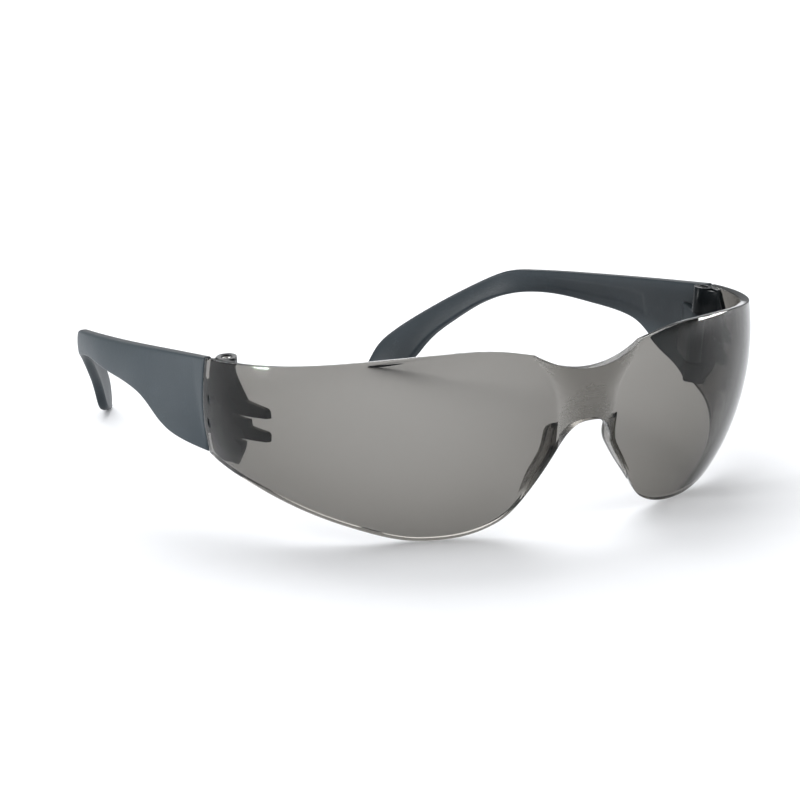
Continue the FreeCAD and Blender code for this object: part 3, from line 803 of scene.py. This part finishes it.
TIP_SHARE = 0.985


def soft_step(value, start, width):
    share = min(max((value - start) / width, 0), 1)
    return share * share * (3 - 2 * share)


def panel_depth(y, rise):
    along = soft_step(y, PANEL["front"], PANEL["soft"]) * soft_step(-y, -PANEL["rear"], PANEL["soft"])
    upright = soft_step(rise, PANEL["low"], 0.05) * soft_step(-rise, -PANEL["high"], 0.05)
    return PANEL["deep"] * along * upright


def blade_point(y, rise, deep):
    slope = blade_outside(y + 0.5, rise) - blade_outside(y - 0.5, rise)
    if deep > 0.8 * TEMPLE_WALL:
        deep -= panel_depth(y, rise)
    low = max(0, blade_low(y))
    return (blade_outside(y, rise) - deep * math.hypot(1, slope), y, low + rise * (blade_top(y) - low))


def blade_loops():
    """Loops from the rounded front to the tip, where they lie closer together."""
    ends = [EDGE_ROUND * (1 - math.cos(turn)) for turn in steps(5, 0, math.pi / 2)]
    insets = [EDGE_ROUND * (1 - math.sin(turn)) for turn in steps(5, 0, math.pi / 2)]
    stations = [(0, offset, inset) for offset, inset in zip(ends, insets)]
    body, tip = steps(190, 0.0, TIP_SHARE)[1:], steps(8, TIP_SHARE, 1.0)[1:]
    stations += [(share, EDGE_ROUND, 0) for share in body + tip]
    loops = []
    for share, offset, inset in stations:
        loop = []
        middle = seam(0.5) + share * (TEMPLE_REACH - seam(0.5))
        tall = max(blade_top(middle) - max(0, blade_low(middle)), 0.2)
        for rise, deep in rounded_section(tall, inset):
            start = seam(rise) + offset
            loop.append(placed(*blade_point(start + share * (TEMPLE_REACH - start), rise, deep)))
        loops.append(loop)
    return loops


def make_blade(name):
    loops = blade_loops()
    size = len(loops[0])
    points = [point for loop in loops for point in loop]
    faces = grid_faces(len(loops), size, close=True)
    faces += [list(range(size)), list(range(len(points) - size, len(points)))]
    return mesh_object(name, points, faces)


# %% [markdown]
# ### Knuckle and web
#
# At the front a web reaches inwards round the edge of the lens and ends in the knuckle that turns
# on the screw. Both are drawn about the hinge axis, which the joint in the frame gives.

# %% knuckle and web
CAP_ABOVE, UPPER_LENGTH, MIDDLE_LENGTH, KNUCKLE_GAP = 0.2, 6.6, 12.7, 0.25
MIDDLE_FOOT = CAP_ABOVE - UPPER_LENGTH - KNUCKLE_GAP - MIDDLE_LENGTH
KNUCKLE_RADIUS, BORE_RADIUS = 1.8, 0.85
WEB = [(-1.8, 0.3), (0.9, 0.3), (0.9, 2.8), (1.8, 5.6), (4.0, 6.6), (4.0, 12), (2.8, 12), (-1.2, 2.4)]


def pin_matrix(side=1, along=0.0):
    """A frame on the hinge axis, Z up the axis, in metres."""
    joint = JOINTS["fold_left"]
    axis = Vector(joint["axis"]).normalized()
    place = Vector(joint["pos_m"]) + axis * along * MM
    axis.x, place.x = side * axis.x, side * place.x
    return Matrix.Translation(place) @ Vector((0, 0, 1)).rotation_difference(axis).to_matrix().to_4x4()


def turned_piece(name, profile, along, count=64):
    """A profile of (radius, height) turned about the hinge axis."""
    points, frame_of_pin = [], pin_matrix(1, along)
    for index in range(count):
        turn = 2 * math.pi * index / count
        ring = [Vector((r * math.cos(turn), r * math.sin(turn), up)) * MM for r, up in profile]
        points += [frame_of_pin @ point for point in ring]
    size, faces = len(profile), []
    for row in range(count):
        for column in range(size - 1):
            a, b = row * size + column, (row + 1) % count * size + column
            faces.append([a, b, b + 1, a + 1])
    return mesh_object(name, points, faces)


def knuckle(name):
    soft = 0.15
    radius, tall = KNUCKLE_RADIUS, MIDDLE_LENGTH
    return turned_piece(name, [(0, 0), (radius - soft, 0), (radius, soft), (radius, tall - soft),
                               (radius - soft, tall), (0, tall)], MIDDLE_FOOT)


def prism(name, corners, along, tall, soft):
    frame_of_pin = pin_matrix(1, along)
    points = [frame_of_pin @ (Vector((x, y, up)) * MM) for up in (0, tall) for x, y in corners]
    count = len(corners)
    faces = [list(range(count)), list(range(count, 2 * count))]
    faces += [[i, (i + 1) % count, (i + 1) % count + count, i + count] for i in range(count)]
    return bevelled(mesh_object(name, points, faces), soft, segments=2, angle=25)


def make_temple(name, body, side):
    arm = make_blade(name)
    web = prism("web", WEB, MIDDLE_FOOT + 0.05, MIDDLE_LENGTH - 0.1, 0.2)
    combined(arm, [web, knuckle("knuckle")], "UNION")
    bore = turned_piece("bore", [(0, -1), (BORE_RADIUS, -1), (BORE_RADIUS, 15), (0, 15)], MIDDLE_FOOT)
    combined(arm, [bore], "DIFFERENCE")
    arm.data.materials.clear()
    arm.data.materials.append(temple_plastic)
    if side < 0:
        mirrored_x(arm)
    smoothed(arm, angle=32)
    tell(arm)
    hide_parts(body)
    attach(arm, body)
    return arm


make_temple("arm_left", "temple_left", 1)
make_temple("arm_right", "temple_right", -1)

# %% [markdown]
# ## Hinge blocks
#
# The block is a small moulding that hugs the inside of the lens. Its measured shape is right, so
# a welded copy of it is used and every sharp edge gets the small radius that a mould leaves.

# %% hinge blocks
def softened_copy(node, name, width):
    source = frame["nodes"][node]
    copy = bpy.data.objects.new(name, source.data.copy())
    bpy.context.scene.collection.objects.link(copy)
    work = bmesh.new()
    work.from_mesh(copy.data)
    bmesh.ops.remove_doubles(work, verts=work.verts, dist=0.001 * MM)
    bmesh.ops.dissolve_limit(work, angle_limit=math.radians(2), verts=work.verts, edges=work.edges)
    work.to_mesh(copy.data)
    work.free()
    return bevelled(copy, width, segments=2, angle=35)


for side in ("left", "right"):
    block = softened_copy("hinge_block_" + side, "block_" + side, 0.12)
    block.data.materials.clear()
    block.data.materials.append(block_plastic)
    smoothed(block, angle=40)
    tell(block)
    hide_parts("hinge_block_" + side)
    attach(block, "front")

# %% [markdown]
# ## Screws
#
# Two equal screws hold the hinges. One is modelled: a turned shank, a domed head and a sunk
# cross. Geometry Nodes then put a copy on each hinge axis, tilted as the axis is.

# %% one screw, placed twice
HEAD_SINK, HEAD_RADIUS, HEAD_TALL, SCREW_RADIUS, SCREW_LENGTH = 0.9, 1.2, 0.7, 0.8, 23.4
CROSS_HALF, CROSS_REACH, CROSS_DEEP = 0.25, 0.8, 0.45


def screw_at_origin():
    profile = [(0, -SCREW_LENGTH), (SCREW_RADIUS - 0.2, -SCREW_LENGTH), (SCREW_RADIUS, 0.2 - SCREW_LENGTH)]
    for groove in range(12):
        low = 0.6 - SCREW_LENGTH + 0.4 * groove
        profile += [(SCREW_RADIUS, low), (SCREW_RADIUS - 0.15, low + 0.2)]
    profile += [(SCREW_RADIUS, 5.6 - SCREW_LENGTH), (SCREW_RADIUS, 0)]
    profile += [(HEAD_RADIUS - 0.05, 0), (HEAD_RADIUS, 0.05)]
    for turn in steps(6, 0, math.pi / 2):
        profile.append((HEAD_RADIUS - 0.3 + 0.3 * math.cos(turn), HEAD_TALL - 0.25 + 0.2 * math.sin(turn)))
    profile.append((0, HEAD_TALL))
    points, count, faces = [], 48, []
    for index in range(count):
        turn = 2 * math.pi * index / count
        points += [Vector((r * math.cos(turn), r * math.sin(turn), up)) * MM for r, up in profile]
    size = len(profile)
    for row in range(count):
        for column in range(size - 1):
            a, b = row * size + column, (row + 1) % count * size + column
            faces.append([a, b, b + 1, a + 1])
    screw = mesh_object("screw_blank", points, faces)
    arms = []
    for wide, long in ((CROSS_HALF, CROSS_REACH), (CROSS_REACH, CROSS_HALF)):
        corners = [Vector((x, y, z)) * MM for x in (-wide, wide) for y in (-long, long)
                   for z in (HEAD_TALL - CROSS_DEEP, HEAD_TALL + 1)]
        arms.append(mesh_object("cross_arm", corners, [
            [0, 1, 3, 2], [4, 6, 7, 5], [0, 4, 5, 1], [2, 3, 7, 6], [0, 2, 6, 4], [1, 5, 7, 3]]))
    return smoothed(combined(screw, arms, "DIFFERENCE"), angle=35)


def screws_tree():
    tree, given, result = new_group(
        "screws_on_axes", "GeometryNodeTree",
        [("Geometry", "NodeSocketGeometry", None), ("Screw", "NodeSocketObject", None),
         ("Material", "NodeSocketMaterial", None)],
        [("Geometry", "NodeSocketGeometry")])
    source = add_node(tree, "GeometryNodeObjectInfo", Object=given["Screw"])
    tilt = add_node(tree, "GeometryNodeInputNamedAttribute", {"data_type": "FLOAT_VECTOR"}, Name="tilt")
    copies = add_node(tree, "GeometryNodeInstanceOnPoints", Points=given["Geometry"],
                      Instance=source.outputs["Geometry"], Rotation=tilt.outputs["Attribute"])
    real = add_node(tree, "GeometryNodeRealizeInstances", Geometry=copies.outputs[0])
    painted = add_node(tree, "GeometryNodeSetMaterial", Geometry=real.outputs[0], Material=given["Material"])
    tree.links.new(painted.outputs[0], result["Geometry"])
    return tree


def make_screws():
    screw = screw_at_origin()
    data = bpy.data.meshes.new("hinge_screws")
    seats = [pin_matrix(side, CAP_ABOVE - HEAD_SINK) for side in (1, -1)]
    data.from_pydata([tuple(seat.translation) for seat in seats], [], [])
    tilt = data.attributes.new("tilt", "FLOAT_VECTOR", "POINT")
    for item, seat in zip(tilt.data, seats):
        item.vector = seat.to_euler()
    screws = bpy.data.objects.new("hinge_screws", data)
    bpy.context.scene.collection.objects.link(screws)
    through_nodes(screws, screws_tree(), screw_steel, Screw=screw)
    bpy.data.objects.remove(screw)
    tell(screws)
    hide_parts("hinge_screw_left", "hinge_screw_right")
    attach(screws, "front")
    return screws


make_screws()

# %% [markdown]
# ## Floor and light
#
# The glasses stand on a white sweep. The sky is dim, so that the sides of things stay dark; a wide
# ceiling lights the sweep, and a soft key from behind throws the shadow forwards. A low box on the
# right reaches the inside of the near hook, and a small low light on the left lifts the near arm
# while that arm keeps the far one in its shade.

# %% floor
FLOOR_DROP = 0.02


def make_floor():
    reach = 4.0
    corners = [(-reach, -reach), (reach, -reach), (reach, reach), (-reach, reach)]
    level = cad_low.z - FLOOR_DROP * MM
    floor = mesh_object("floor", [Vector((x, y, level)) for x, y in corners], [[0, 1, 2, 3]])
    if floor.data.polygons[0].normal.z < 0:
        floor.data.flip_normals()
    material, tree, shader, _ = start_material("white_sweep")
    paper = add_node(tree, "ShaderNodeTexNoise", Scale=900.0, Detail=3.0)
    tone = add_node(tree, "ShaderNodeMix", {"data_type": "RGBA"})
    feed(tree, tone.inputs[0], paper.outputs["Fac"])
    tone.inputs[6].default_value = (0.90, 0.91, 0.93, 1)
    tone.inputs[7].default_value = (0.92, 0.93, 0.95, 1)
    tree.links.new(tone.outputs[2], shader.inputs["Base Color"])
    shader.inputs["Roughness"].default_value = 0.8
    shader.inputs["Specular IOR Level"].default_value = 0.1
    floor.data.materials.append(material)
    return floor


make_floor()


# %% light
def area_light(name, place, target, size, power):
    data = bpy.data.lights.new(name, "AREA")
    data.shape = "RECTANGLE"
    data.size, data.size_y = size
    data.energy = power
    light = bpy.data.objects.new(name, data)
    light.location = place
    light.rotation_mode = "QUATERNION"
    light.rotation_quaternion = (Vector(target) - Vector(place)).to_track_quat("-Z", "Y")
    bpy.context.scene.collection.objects.link(light)
    return light


SKY_COLOUR, SKY_STRENGTH = (0.96, 0.98, 1.0, 1), 0.30


def make_world():
    world = bpy.data.worlds.new("sky")
    bpy.context.scene.world = world
    world.use_nodes = True
    background = world.node_tree.nodes["Background"]
    background.inputs["Color"].default_value = SKY_COLOUR
    background.inputs["Strength"].default_value = SKY_STRENGTH


make_world()
# name, place, aimed at, (width, height) in metres, and power in watts
LIGHTS = [
    ("ceiling", (0, 0.6, 1.8), (0, 0.6, 0), (5.0, 5.0), 57.0),
    ("key", (0.35, 1.2, 1.2), (0, 0, 0.02), (1.5, 1.5), 22.0),
    ("right_box", (0.9, -0.2, 0.09), (-0.04, 0.08, 0.02), (0.5, 0.1), 8.0),
    ("left_strip", (-0.65, 0.10, 0.032), (0, 0.10, 0.032), (0.12, 0.02), 6.5),
]
for settings in LIGHTS:
    area_light(*settings)
bpy.context.scene.view_settings.view_transform = "Standard"
